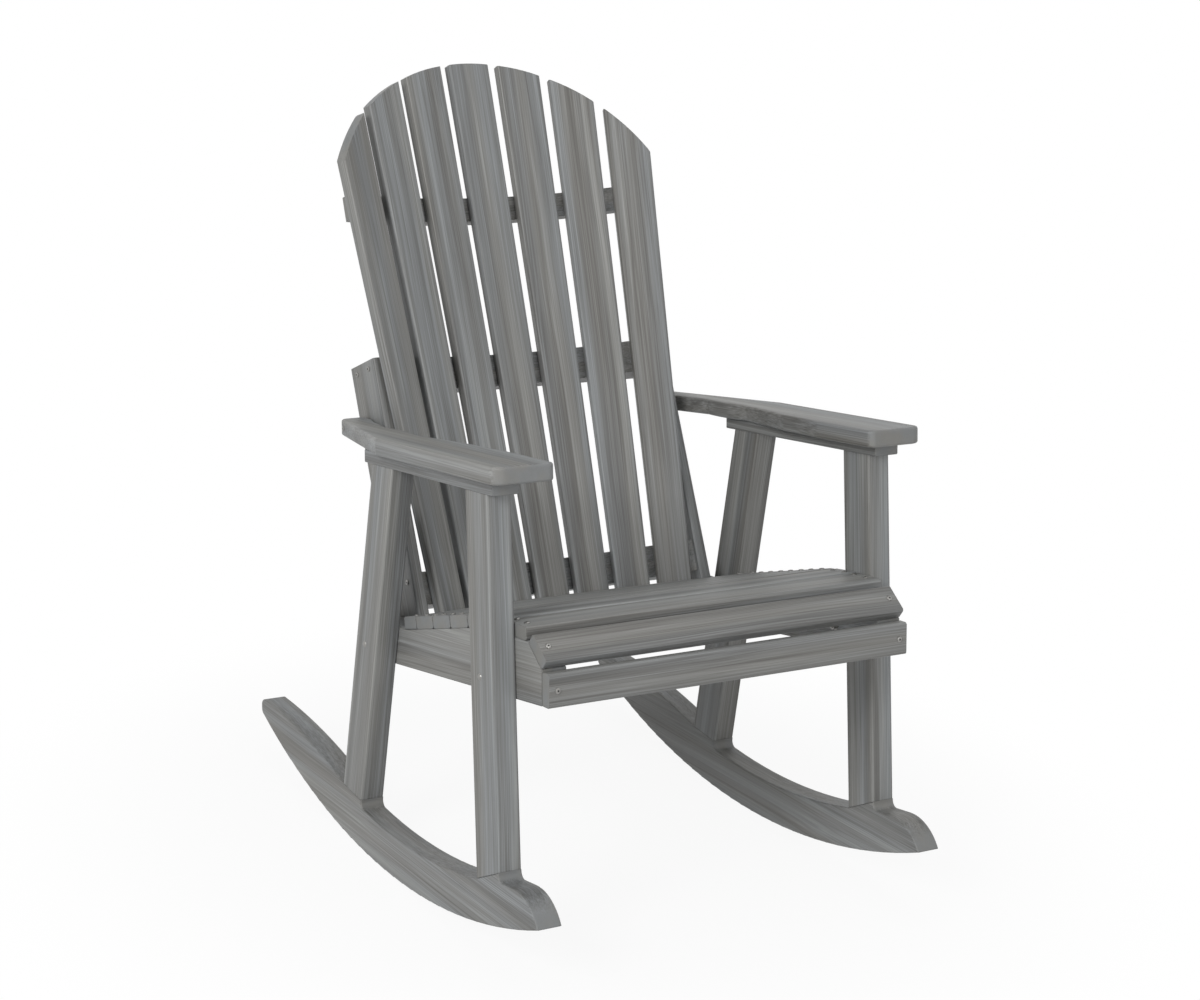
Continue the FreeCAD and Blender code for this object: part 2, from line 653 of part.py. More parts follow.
# Seat and front boards are screwed down into the rails from above.
seat_places = []
for name, (width, _) in SLAT_SIZES.items():
    middle = worth(width) / 2 + (worth("nose_screw_shift") if name == "nose_slat" else 0)
    spread = 0 if name == "seat_slat_6" else worth("seat_screw_spread") / 2
    for across in (-worth("seat_screw_place"), worth("seat_screw_place")):
        points = [Vector(across, middle + along, worth("seat_thickness")) for along in sorted({-spread, spread})]
        seat_places += local_points(name, points)
seat_length = worth("seat_screw_length")
fit("seat_screws", [pan_screw(seat_length)],
    shank_hole("screw_radius", seat_length, "screw_head_radius"), seat_places)
front_places = []
for name, width, thickness in (("slanted_front_slat", "front_slat_width", "seat_thickness"),
                               ("front_apron", "apron_height", "apron_thickness")):
    for across in (-worth("seat_screw_place"), worth("seat_screw_place")):
        front_places += local_points(name, [Vector(across, worth(width) / 2, worth(thickness))])
fit("front_board_screws", [pan_screw(seat_length)],
    shank_hole("screw_radius", seat_length, "screw_head_radius"), front_places)

# Bolts pass through each leg and seat rail, and at the rear through the upright too.
for name, inner in (("front", "frame_inner - rail_thickness"), ("rear", between_uprights)):
    stack = worth(f"frame_inner + leg_thickness - ({inner})")
    length = stack + worth("washer_thickness + nut_height + bolt_spare")
    back, high = worth(f"{name}_bolt_back"), worth(f"{name}_bolt_height")
    outer = worth("frame_inner + leg_thickness")
    heads = [aimed(Vector(sign * outer, back, high), Vector(-sign, 0, 0)) for sign in SIDES.values()]
    fit(f"{name}_leg_bolts", [dome_bolt(length)], shank_hole("bolt_radius", length, "bolt_head_radius"), heads)
    nuts = [aimed(Vector(sign * worth(inner), back, high), Vector(sign, 0, 0)) for sign in SIDES.values()]
    fit(f"{name}_leg_bolt_nuts", nut_and_washer(), None, nuts)

# Lag screws from counterbores under the rockers hold the legs.
lag_places = []
for front, back in ((FRONT_FACE, FRONT_BACK_FACE), (REAR_FACE, REAR_BACK_FACE)):
    lean = math.radians(worth(front[1]))
    upward = Vector(0, math.sin(lean), math.cos(lean))
    middle = (worth(front[0]) + worth(back[0])) / 2
    for along in (-worth("lag_spread") / 2, worth("lag_spread") / 2):
        foot = Vector(0, middle + along, 0)
        low = worth(underside(foot.y))
        seat = foot + upward * (low + worth("lag_counterbore"))
        for sign in SIDES.values():
            across = sign * worth("frame_inner + leg_thickness / 2")
            lag_places.append(aimed(seat + X_AXIS * across, upward))
lag_length = worth("lag_length")
fit("rocker_lag_screws", [lag_screw(lag_length)],
    shank_hole("lag_radius", lag_length, "lag_head_radius", worth("lag_bore_length")), lag_places)

# Flush screws hold the supports on the legs, and screws from below hold the armrests on the supports.
support_top = worth("support_height + support_thickness / cos(support_slope)")
support_places, arm_places = [], []
for sign in SIDES.values():
    across = sign * worth("frame_inner + leg_thickness / 2")
    for front, back in ((FRONT_FACE, FRONT_BACK_FACE), (REAR_FACE, REAR_BACK_FACE)):
        middle = (worth(meets_support(*front)[0]) + worth(meets_support(*back)[0])) / 2
        for along in (-worth("support_screw_spread") / 2, worth("support_screw_spread") / 2):
            place = middle + along
            point = Vector(across, place, support_top - math.tan(slope) * place)
            support_places.append(aimed(point, -SLOPE_UP))
    for number in range(3):
        place = worth("arm_screw_first") + number * worth("arm_screw_pitch")
        point = Vector(across, place, worth("support_height") - math.tan(slope) * place)
        arm_places.append(aimed(point, SLOPE_UP))
support_length, arm_length = worth("support_screw_length"), worth("arm_screw_length")
fit("support_screws", [flush_screw(support_length)],
    shank_hole("screw_radius", support_length, "screw_head_radius", flush=True), support_places)
arm_hole = shank_hole("screw_radius", arm_length, "screw_head_radius")
fit("arm_screws", [pan_screw(arm_length)], arm_hole, arm_places)

# One screw through each armrest's tail into the upright, square to the tail's outer edge.
taper = worth("arm_outer - arm_inner - arm_tail_width") / worth("arm_rear - arm_bow_start")
side_places = []
for sign in SIDES.values():
    place = worth("arm_side_screw_back")
    edge = worth("arm_inner + arm_tail_width") + taper * (worth("arm_rear") - place)
    frame = boards["armrest_left"].Placement
    point = frame.multVec(Vector(sign * edge, place, worth("arm_thickness") / 2))
    into = frame.Rotation.multVec(Vector(-sign, -taper, 0).normalize())
    side_places.append(aimed(point, into))
side_length = worth("arm_side_screw_length")
fit("arm_side_screws", [pan_screw(side_length)],
    shank_hole("screw_radius", side_length, "screw_head_radius"), side_places)

# Screws from behind, square to the cross rails and sunk to one depth, hold every slat on every rail.
slat_places = []
for label, (place, thickness) in RAIL_PLACES.items():
    middle = f"({place} + {thickness} / 2)"
    for number in range(-3, 4):
        turn = number * worth("slat_step")
        inset = number * worth("slat_screw_inset")
        deeper = worth("slat_screw_grip") + inset * math.tan(math.radians(turn))
        seat = back_point(middle, turn, "slat_thickness") - X_AXIS * inset + BACK_OUT * deeper
        slat_places.append(aimed(seat, -BACK_OUT))
slat_length = worth("slat_screw_length")
fit("back_slat_screws", [pan_screw(slat_length)],
    shank_hole("screw_radius", slat_length, "screw_head_radius", worth("slat_screw_room")), slat_places)

# Screws through the uprights hold the ends of the upper boards, and flush ones from below join each pair of boards.
END_SCREW_PLACES = {
    "mid": ("middle_rail_screw_front", "middle_rail_screw_rear"),
    "lower": ("lower_rail_screw_front", "lower_rail_screw_rear"),
}
outer_face = worth("frame_inner - rail_thickness")
end_places, stack_places = [], []
for pair, places in END_SCREW_PLACES.items():
    high = worth(f"{PAIR_PLACES[pair]} + 1.5 * cross_rail_thickness")
    low = worth(PAIR_PLACES[pair])
    for sign in SIDES.values():
        for back in places:
            point = BACK_ORIGIN + BACK_OUT * worth(back) + BACK_UP * high + X_AXIS * sign * outer_face
            end_places.append(aimed(point, Vector(-sign, 0, 0)))
    for step in (-1.5, -0.5, 0.5, 1.5):
        across = X_AXIS * step * worth("stack_screw_pitch")
        point = BACK_ORIGIN + BACK_OUT * worth("stack_screw_back") + BACK_UP * low + across
        stack_places.append(aimed(point, BACK_UP))
end_length, stack_length = worth("rail_screw_length"), worth("stack_screw_length")
fit("rail_end_screws", [pan_screw(end_length)],
    shank_hole("screw_radius", end_length, "screw_head_radius"), end_places)
fit("rail_stack_screws", [flush_screw(stack_length)],
    shank_hole("screw_radius", stack_length, "screw_head_radius", flush=True), stack_places)

# Two screws from inside hold each upright's foot on its seat rail, either side of the rear bolt.
foot_places = []
for sign in SIDES.values():
    for along in (-1, 1):
        point = Vector(sign * worth(between_uprights), worth("rear_bolt_back") + along * worth("upright_screw_back"),
                       worth("rear_bolt_height") - along * worth("upright_screw_fall"))
        foot_places.append(aimed(point, Vector(sign, 0, 0)))
foot_length = worth("upright_screw_length")
fit("upright_foot_screws", [pan_screw(foot_length)],
    shank_hole("screw_radius", foot_length, "screw_head_radius"), foot_places)


# Drilling: each board is cut by the holes that reach it

def drill(label, blank):
    """The board with its holes, as the sub-part itself."""
    shape = blank.Shape
    nearby = [hole for hole in holes if hole.BoundBox.intersect(shape.BoundBox)]
    reaching = [hole for hole in nearby if hole.distToShape(shape)[0] < 1e-6]
    if not reaching:
        return blank
    drilled = doc.addObject("Part::Feature", label + "_holes")
    drilled.Shape = Part.makeCompound(reaching)
    part = doc.addObject("Part::Cut", label)
    part.Base = blank
    part.Tool = drilled
    return part


doc.recompute()
nodes = {label: drill(label, blank) for label, blank in boards.items()}
nodes.update(fasteners)
doc.recompute()

# The rockers roll back about the centre of their arc to the pitch at which the empty chair rests, and the origin
# goes to the floor midway between the toes' tips and the top of the middle slat's back.
rest = Placement(Vector(), Rotation(X_AXIS, -worth("rest_pitch")), Vector(0, 0, worth("rocker_radius")))
toe_tip = rest.multVec(Vector(0, -worth("toe_reach"), worth(underside("toe_reach"))))
crown = rest.multVec(back_point("arch_crown", 0, "slat_thickness"))
to_origin = Placement(Vector(0, -(toe_tip.y + crown.y) / 2, 0), Rotation()).multiply(rest)
for label, part in nodes.items():
    part.Label = label
    part.Placement = to_origin.multiply(part.Placement)
doc.recompute()

for item in doc.Objects:
    assert not {"Invalid", "Error"} & set(item.State), f"{item.Label} failed"
for label, part in nodes.items():
    assert not part.Shape.isNull() and part.Shape.isValid(), f"{label} has no valid shape"

os.makedirs("parts", exist_ok=True)
for label, part in nodes.items():
    part.Shape.exportStep(f"parts/{label}.step")
print(len(nodes), "sub-parts written")
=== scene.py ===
# %% [markdown]
# # A rocking chair in grey plastic lumber
# The chair is built from thirty-five boards of recycled plastic, held together by steel screws and bolts. The CAD
# model already gives every board its shape and place. This script gives the boards and the steel their finish, and
# sets up a white studio with a camera that sees the chair as the photograph does.

# %% Load the chair
import math

import bpy
import numpy
from mathutils import Matrix, Vector


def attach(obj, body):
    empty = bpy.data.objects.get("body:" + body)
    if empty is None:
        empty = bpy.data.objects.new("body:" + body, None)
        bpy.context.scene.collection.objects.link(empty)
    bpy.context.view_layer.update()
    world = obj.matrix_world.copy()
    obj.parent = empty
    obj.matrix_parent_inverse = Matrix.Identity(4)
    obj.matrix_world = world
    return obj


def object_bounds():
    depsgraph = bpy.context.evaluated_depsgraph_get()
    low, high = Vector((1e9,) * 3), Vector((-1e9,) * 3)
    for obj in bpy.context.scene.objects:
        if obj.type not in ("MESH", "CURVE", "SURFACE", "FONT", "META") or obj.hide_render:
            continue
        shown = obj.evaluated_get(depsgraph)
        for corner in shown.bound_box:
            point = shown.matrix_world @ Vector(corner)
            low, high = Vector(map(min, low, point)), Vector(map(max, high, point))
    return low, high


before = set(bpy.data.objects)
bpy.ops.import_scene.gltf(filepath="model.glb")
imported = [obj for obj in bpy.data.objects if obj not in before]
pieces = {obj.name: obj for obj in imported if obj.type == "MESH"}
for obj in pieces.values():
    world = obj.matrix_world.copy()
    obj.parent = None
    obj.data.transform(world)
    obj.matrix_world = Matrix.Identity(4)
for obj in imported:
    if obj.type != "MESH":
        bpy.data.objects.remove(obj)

cad_low, cad_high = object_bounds()
print("pieces loaded:", len(pieces), "box in metres:", tuple(cad_low), tuple(cad_high))

# %% [markdown]
# ## The camera
# The photograph was taken from the sitter's right, a little above the arms, with a longish lens. The view could be
# found by turning the camera by hand until the edges agree. Here it was solved from the corners of the boards, so it
# is given as three directions: to the right of the picture, up it, and into it. The chair stands as it rests when it
# is empty, rocked back a little, and so the camera leans with it.

# %% Place the camera
PICTURE_RIGHT = Vector((0.858415, -0.508504, 0.067435))
PICTURE_UP = Vector((0.073699, 0.252361, 0.964822))
INTO_PICTURE = Vector((0.507634, 0.823248, -0.254107))
CAMERA_PLACE = Vector((-1.92352, -3.12382, 1.64566))

camera_data = bpy.data.cameras.new("camera")
camera_data.sensor_width = 36
camera_data.lens = 76.339
camera_data.shift_y = -0.08
camera = bpy.data.objects.new("camera", camera_data)
bpy.context.scene.collection.objects.link(camera)
camera_turn = Matrix((PICTURE_RIGHT, PICTURE_UP, -INTO_PICTURE)).transposed()
camera.matrix_world = Matrix.Translation(CAMERA_PLACE) @ camera_turn.to_4x4()
bpy.context.scene.camera = camera
print("camera placed, lens in millimetres:", camera_data.lens)


# %% [markdown]
# ## Colours and nodes
# Colours are picked as sRGB hex values, as any paint tool shows them, but Blender's shaders count in linear light.
# One function turns the first into the second. Another adds a shader node, sets it and links it, so that each
# material below reads as a list of steps. A third starts an empty material for those steps.

# %% Three helpers
def linear(colour):
    """An sRGB hex colour as the linear red, green, blue and alpha that shaders use."""
    channels = [int(colour[place:place + 2], 16) / 255 for place in (1, 3, 5)]
    return [c / 12.92 if c <= 0.04045 else ((c + 0.055) / 1.055) ** 2.4 for c in channels] + [1.0]


def add(tree, kind, inputs, **settings):
    """Adds a node. Each input is given a value, or the output of another node that feeds it."""
    node = tree.nodes.new(kind)
    for name, value in settings.items():
        setattr(node, name, value)
    for socket, value in inputs.items():
        if isinstance(value, bpy.types.NodeSocket):
            tree.links.new(value, node.inputs[socket])
        else:
            node.inputs[socket].default_value = value
    return node


def empty_material(name):
    """A new material, and its node tree with nothing in it."""
    material = bpy.data.materials.new(name)
    material.use_nodes = True
    material.node_tree.nodes.clear()
    return material, material.node_tree


print("mid grey #808080 in linear light:", round(linear("#808080")[0], 3))

# %% [markdown]
# ## Plastic lumber
# The boards are high-density polyethylene, HDPE, coloured right through. Several greys are fed into the extruder
# together and are drawn out into long streaks, so that the board looks like weathered wood, and rollers press a fine
# grain into its skin. The eye sees bands of light and dark grey some 20 mm wide, finer streaks of about 5 mm, hair
# lines of about a millimetre, and a low satin gloss.
#
# The streaks could be painted as an image, but they have to run along each board, round its edges and out through
# its ends. A noise in three dimensions, stretched along the board, does that by itself. So each board's material
# only needs to know which way its grain runs, and where in the noise it starts, so that no two boards are alike.

# %% Sizes of the grain
MM = 0.001
BANDS = (1700 * MM, 22 * MM)       # length along the board and width across it
STREAKS = (800 * MM, 5 * MM)
HAIRS = (240 * MM, 1.7 * MM)       # really about 1 mm, drawn coarser so that they show
TINTS = (1300 * MM, 34 * MM)
WANDER = (450 * MM, 120 * MM)      # the slow bends in the streaks
WANDER_REACH = 10 * MM
NOISE_MIDDLE = 0.5                 # the value that Blender's noise swings round


def stretched(tree, place, size, detail):
    """Noise whose grains have this length along the board and this width across it."""
    length, width = size
    scaled = add(tree, "ShaderNodeMapping", {"Vector": place, "Scale": (1 / length, 1 / width, 1 / width)})
    return add(tree, "ShaderNodeTexNoise",
               {"Vector": scaled.outputs[0], "Scale": 1.0, "Detail": detail, "Roughness": 0.55})


print("widths of the grain in millimetres:", [round(size[1] / MM, 1) for size in (BANDS, STREAKS, HAIRS)])

# %% [markdown]
# The place on a board is first turned so that X runs along the grain, and moved by a step that differs from board to
# board. Then a slow noise pushes it a few millimetres sideways, because drawn plastic never runs quite straight.

# %% Where a point lies in the grain
BOARD_STEP = (0.731, 0.317, 0.533)


def grain_place(tree, grain, number):
    """The place of a point in its board's grain, with X along the grain."""
    turn = grain.rotation_difference(Vector((1, 0, 0))).to_euler()
    start = [step * number for step in BOARD_STEP]
    world = add(tree, "ShaderNodeTexCoord", {})
    along = add(tree, "ShaderNodeMapping", {"Vector": world.outputs["Object"], "Rotation": turn, "Location": start})
    bend = stretched(tree, along.outputs[0], WANDER, 1.0)
    centred = add(tree, "ShaderNodeVectorMath", {0: bend.outputs["Color"], 1: [NOISE_MIDDLE] * 3},
                  operation="SUBTRACT")
    reach = add(tree, "ShaderNodeVectorMath", {0: centred.outputs[0], 1: (0, WANDER_REACH, WANDER_REACH)},
                operation="MULTIPLY")
    moved = add(tree, "ShaderNodeVectorMath", {0: along.outputs[0], 1: reach.outputs[0]}, operation="ADD")
    return moved.outputs[0]


print("grain starts a step further on with each board, in metres:", BOARD_STEP)

# %% [markdown]
# The sawn ends of a board show no drawn-out lines. So all the patterns fade out where the surface faces along the
# grain, which the dot product of the surface's direction and the grain tells: 0 on the long sides and 1 on the ends.

# %% Fade the patterns at the sawn ends
END_BEGINS, END_FULL = 0.3, 0.7
LEFT_AT_ENDS = 0.1


def long_sides(tree, grain):
    """1 on the long sides of a board, and nearly 0 on its sawn ends."""
    surface = add(tree, "ShaderNodeNewGeometry", {})
    facing = add(tree, "ShaderNodeVectorMath", {0: surface.outputs["Normal"], 1: grain}, operation="DOT_PRODUCT")
    turned = add(tree, "ShaderNodeMath", {0: facing.outputs["Value"]}, operation="ABSOLUTE")
    faded = add(tree, "ShaderNodeMapRange", {"Value": turned.outputs[0], "From Min": END_BEGINS,
                                             "From Max": END_FULL, "To Min": 1.0, "To Max": LEFT_AT_ENDS})
    return faded.outputs[0]


print("share of the grain left on the ends:", LEFT_AT_ENDS)

# %% [markdown]
# The colour comes in two steps. Bands, streaks and hair lines are added into one lightness, and a ramp turns that
# into the greys of the real boards. Then a wider pattern tints them a little cool or warm.

# %% From patterns to greys
GREYS = ((0.0, "#5c5c5a"), (0.25, "#6d6d6c"), (0.45, "#7a7b7a"), (0.60, "#828383"), (0.78, "#8c8e8e"),
         (1.0, "#9a9c9c"))
COOL, WARM = "#fbfdff", "#fffcf7"
TINT_EDGES = (0.38, 0.62)
LINES_CONTRAST = 0.95
GREY_SPREAD = 0.3                  # how far the lightness swings from the middle of the ramp


def greys(tree, place, lines, bands, long_side):
    """The colour of the plastic, from its lines and its bands."""
    wide = add(tree, "ShaderNodeMath", {0: bands, 1: NOISE_MIDDLE}, operation="SUBTRACT")
    broad = add(tree, "ShaderNodeMath", {0: wide.outputs[0], 1: long_side}, operation="MULTIPLY")
    total = add(tree, "ShaderNodeMath", {0: lines, 1: LINES_CONTRAST, 2: broad.outputs[0]},
                operation="MULTIPLY_ADD")
    shade = add(tree, "ShaderNodeMapRange",
                {"Value": total.outputs[0], "From Min": -GREY_SPREAD, "From Max": GREY_SPREAD})
    grey = add(tree, "ShaderNodeValToRGB", {"Fac": shade.outputs[0]})
    ramp = grey.color_ramp
    while len(ramp.elements) < len(GREYS):
        ramp.elements.new(0.5)
    for element, (position, shown) in zip(ramp.elements, GREYS):
        element.position = position
        element.color = linear(shown)
    warmth = add(tree, "ShaderNodeMapRange", {"Value": stretched(tree, place, TINTS, 1.0).outputs["Fac"],
                                              "From Min": TINT_EDGES[0], "From Max": TINT_EDGES[1]})
    tint = add(tree, "ShaderNodeMix", {0: warmth.outputs[0], 6: linear(COOL), 7: linear(WARM)}, data_type="RGBA")
    tinted = add(tree, "ShaderNodeMix", {0: 1.0, 6: grey.outputs[0], 7: tint.outputs[2]}, data_type="RGBA",
                 blend_type="MULTIPLY")
    return tinted.outputs[2]


print("greys in the lumber:", len(GREYS))

# %% [markdown]
# HDPE has an IOR of about 1.54. Its skin is satin, so the roughness sits near 0.5, and moves a little with the
# streaks. The lines are also pressed in by a bump. A Bevel node rounds the light at the sawn edges, which is lighter
# than cutting real bevels into every board and looks the same at this size.

# %% The lumber material
HDPE_IOR = 1.54
SATIN = (0.46, 0.58)
STREAK_EDGES = (0.3, 0.7)
STREAK_SHARE = 0.45                # how strong the streaks are beside the hair lines
LINE_DEPTH = 0.2 * MM
LINE_STRENGTH = 0.3
EDGE_SOFTNESS = 2.2 * MM           # sawn edges are eased by about this much


def plastic_lumber(name, grain, number):
    """The material of one board whose grain runs along this direction."""
    material, tree = empty_material(name + "_plastic_lumber")
    place = grain_place(tree, grain, number)
    bands = stretched(tree, place, BANDS, 2.0).outputs["Fac"]
    streaks = stretched(tree, place, STREAKS, 3.0).outputs["Fac"]
    hairs = stretched(tree, place, HAIRS, 3.0).outputs["Fac"]
    long_side = long_sides(tree, grain)
    both = add(tree, "ShaderNodeMath", {0: streaks, 1: STREAK_SHARE, 2: hairs}, operation="MULTIPLY_ADD")
    level = add(tree, "ShaderNodeMath", {0: both.outputs[0], 1: NOISE_MIDDLE * (1 + STREAK_SHARE)},
                operation="SUBTRACT")
    lines = add(tree, "ShaderNodeMath", {0: level.outputs[0], 1: long_side}, operation="MULTIPLY").outputs[0]
    colour = greys(tree, place, lines, bands, long_side)
    gloss = add(tree, "ShaderNodeMapRange",
                {"Value": streaks, "From Min": STREAK_EDGES[0], "From Max": STREAK_EDGES[1],
                 "To Min": SATIN[0], "To Max": SATIN[1]})
    eased = add(tree, "ShaderNodeBevel", {"Radius": EDGE_SOFTNESS}, samples=4)
    pressed = add(tree, "ShaderNodeBump", {"Height": lines, "Strength": LINE_STRENGTH, "Distance": LINE_DEPTH,
                                           "Normal": eased.outputs[0]})
    plastic = add(tree, "ShaderNodeBsdfPrincipled",
                  {"Base Color": colour, "Roughness": gloss.outputs[0], "IOR": HDPE_IOR,
                   "Normal": pressed.outputs[0]})
    add(tree, "ShaderNodeOutputMaterial", {"Surface": plastic.outputs[0]})
    return material


dressed = []


def dress(name, grain):
    """Gives a board a lumber material of its own."""
    dressed.append(name)
    material = plastic_lumber(name, grain.normalized(), len(dressed))
    for slot in pieces[name].material_slots:
        slot.material = material


print("roughness of the plastic from and to:", SATIN)

# %% [markdown]
# ## Boards that lie across the chair
# The seat boards, the two boards under its nose and the rails behind the back are sawn to length and laid across the
# chair, so their grain simply runs from side to side, along X.

# %% Dress the seat and the cross rails
ACROSS = Vector((1, 0, 0))
cross_boards = ["nose_slat"] + [f"seat_slat_{number}" for number in range(1, 7)]
cross_boards += ["slanted_front_slat", "front_apron", "top_back_rail"]
cross_boards += [f"{place}_back_rail_{level}" for place in ("lower", "mid") for level in ("lower", "upper")]
for name in cross_boards:
    dress(name, ACROSS)
print("boards across the chair:", len(cross_boards))


# %% [markdown]
# ## The fanned back
# Seven tapered boards stand side by side on a curve. They lean back together, and each one also turns a little
# further from the middle one than the last. The grain follows each board's own middle line, so its direction is
# worked out from the recline, the fan's spread and the board's place in the fan.

# %% Dress the back slats
def leaning(degrees):
    """Straight up, leaned back by so many degrees."""
    return Vector((0, math.sin(math.radians(degrees)), math.cos(math.radians(degrees))))


def running_back(degrees):
    """Straight back, falling by so many degrees."""
    return Vector((0, math.cos(math.radians(degrees)), -math.sin(math.radians(degrees))))


RECLINE = 26.09
FAN_SPREAD = math.tan(math.radians(9.38))
FAN_STEP = math.radians(7.69)
MIDDLE_SLAT = 4
for number in range(1, 8):
    around = (number - MIDDLE_SLAT) * FAN_STEP
    outward = ACROSS * math.sin(around) - running_back(RECLINE) * (1 - math.cos(around))
    dress(f"back_slat_{number}", leaning(RECLINE) + outward * FAN_SPREAD)
print("back slats dressed:", number)

# %% [markdown]
# ## The side frames
# Each side frame has two legs, an arm with the rail that carries it, a seat rail and an upright behind the back. All
# are sawn along the length of the stock, so the grain leans as each piece leans. The rocker is different: it is a
# curve sawn from a straight wide board, so its streaks run straight and nearly level and the curve cuts across them.

# %% Dress the side frames
SIDE_PIECES = {
    "front_leg": leaning(10.24), "rear_leg": leaning(-5.19), "back_upright": leaning(28.69),
    "arm_support": running_back(9.02), "armrest": running_back(9.02), "seat_rail": running_back(12.2),
    "rocker": running_back(3.1),
}
for piece, grain in SIDE_PIECES.items():
    for side in ("right", "left"):
        dress(f"{piece}_{side}", grain)
print("boards dressed in all:", len(dressed))

# %% [markdown]
# ## Stainless steel
# The screws and bolts are stainless steel, cold-formed and tumbled, so they are bright but not polished. A metal
# keeps the default IOR, and its colour is its reflection: a dull warm grey, darkened as painted shade because most
# of them sit in shade. Fine scratches from the tumbling break the gloss at about half a millimetre.

# %% The steel material
SCRATCH = 0.6 * MM
SCRATCH_DEPTH = 0.05 * MM

steel, tree = empty_material("stainless_steel")
world = add(tree, "ShaderNodeTexCoord", {})
scratches = add(tree, "ShaderNodeTexNoise",
                {"Vector": world.outputs["Object"], "Scale": 1 / SCRATCH, "Detail": 2.0})
gloss = add(tree, "ShaderNodeMapRange", {"Value": scratches.outputs["Fac"], "To Min": 0.24, "To Max": 0.42})
marked = add(tree, "ShaderNodeBump",
             {"Height": scratches.outputs["Fac"], "Strength": 0.15, "Distance": SCRATCH_DEPTH})
# The base colour is darker than bare steel: painted shade, since most screws sit in shade.
metal = add(tree, "ShaderNodeBsdfPrincipled",
            {"Base Color": linear("#92918e"), "Metallic": 1.0, "Roughness": gloss.outputs[0],
             "Normal": marked.outputs[0]})
add(tree, "ShaderNodeOutputMaterial", {"Surface": metal.outputs[0]})

fasteners = sorted(name for name in pieces if name not in dressed)
for name in fasteners:
    for slot in pieces[name].material_slots:
        slot.material = steel
print("fastener sets in steel:", fasteners)

# %% [markdown]
# ## The drive in each screw
# A screw is driven by a bit in a square recess, some 2.5 mm across, that looks black because hardly any light gets
# out of it. The recess could be cut into every head, but at this size a dark square of painted shade that just
# covers the crown of the head looks the same. The screws of a set are one mesh, so the mesh is first taken apart
# into single screws: corners that share a place or an edge belong to the same one.

# %% Take a set of screws apart
def single_screws(mesh):
    """The corners of each screw in a mesh that holds a whole set of them."""
    places = numpy.array([vertex.co for vertex in mesh.vertices])
    leaders = numpy.arange(len(places))

    def leader(number):
        while leaders[number] != number:
            leaders[number] = leaders[leaders[number]]
            number = leaders[number]
        return number

    first_there = {}
    for number, place in enumerate(numpy.round(places, 6)):
        leaders[leader(number)] = leader(first_there.setdefault(tuple(place), number))
    for edge in mesh.edges:
        leaders[leader(edge.vertices[0])] = leader(edge.vertices[1])
    screws = {}
    for number in range(len(places)):
        screws.setdefault(leader(number), []).append(number)
    return [places[numbers] for numbers in screws.values()]


driven = [name for name in fasteners if name.endswith("_screws") and name != "rocker_lag_screws"]
print("sets of screws with a square drive:", driven)

# %% [markdown]
# Each screw's middle line is the direction in which it is longest, and its head is at the end where it is widest. A
# small dark block of painted shade sits there, sunk into the head, with its top just clear of the crown.

# %% Mark the drives
DRIVE_HALF = 1.3 * MM
DRIVE_PROUD = 0.06 * MM
DRIVE_DEEP = 0.8 * MM
BLOCK_FACES = ((0, 3, 2, 1), (4, 5, 6, 7), (0, 1, 5, 4), (1, 2, 6, 5), (2, 3, 7, 6), (3, 0, 4, 7))


def drive_corners(corners):
    """The eight corners of the dark block in one screw's head."""
    middle = corners.mean(0)
    axis, side = numpy.linalg.svd(corners - middle, full_matrices=False)[2][:2]
    height = (corners - middle) @ axis
    width = numpy.linalg.norm(corners - middle - numpy.outer(height, axis), axis=1)
    if height[width.argmax()] < (height.max() + height.min()) / 2:
        axis, height = -axis, -height
    other = numpy.cross(axis, side)
    beside = corners - middle - numpy.outer(height, axis)
    centre = middle + (beside.max(0) + beside.min(0)) / 2
    square = [(-1, -1), (1, -1), (1, 1), (-1, 1)]
    return [tuple(centre + axis * (height.max() + level) + (side * x + other * y) * DRIVE_HALF)
            for level in (-DRIVE_DEEP, DRIVE_PROUD) for x, y in square]


vertices, faces = [], []
for name in driven:
    for corners in single_screws(pieces[name].data):
        first = len(vertices)
        vertices += drive_corners(corners)
        faces += [[first + corner for corner in face] for face in BLOCK_FACES]
drive_shade_mesh = bpy.data.meshes.new("screw_drive_shade")
drive_shade_mesh.from_pydata(vertices, [], faces)
drives = bpy.data.objects.new("screw_drive_shade", drive_shade_mesh)
bpy.context.scene.collection.objects.link(drives)
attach(drives, "root")
print("screws with a drive:", len(vertices) // 8)

# %% [markdown]
# Inside a recess the steel is seen by what little light falls in. A dark, dull surface with a little mottling paints
# that shade.

# %% The shaded steel
shaded_steel, tree = empty_material("steel_in_shade")
world = add(tree, "ShaderNodeTexCoord", {})
# The dark, mottled grey below is painted shade for the inside of the recess.
recess_mottle = add(tree, "ShaderNodeTexNoise", {"Vector": world.outputs["Object"], "Scale": 1 / SCRATCH, "Detail": 2.0})
painted_recess_shade = add(tree, "ShaderNodeMix", {0: recess_mottle.outputs["Fac"], 6: linear("#1c1c1b"), 7: linear("#3a3937")},
           data_type="RGBA")
dull = add(tree, "ShaderNodeBsdfPrincipled", {"Base Color": painted_recess_shade.outputs[2], "Roughness": 0.7})
add(tree, "ShaderNodeOutputMaterial", {"Surface": dull.outputs[0]})
drive_shade_mesh.materials.append(shaded_steel)
print("finish of the drives:", shaded_steel.name)


# %% [markdown]
# ## The studio
# The chair stands on a plain pale floor that runs out into white. A big curved backdrop would do, but a floor whose
# far part glows white to the camera is simpler, and it can't show a seam. Close to the chair a share of the floor is
# an ordinary pale surface, which keeps a soft shadow under the rockers. Mirrors and glass should see the same white
# as the camera does, so a small function finds all those rays, for the floor and for the room.

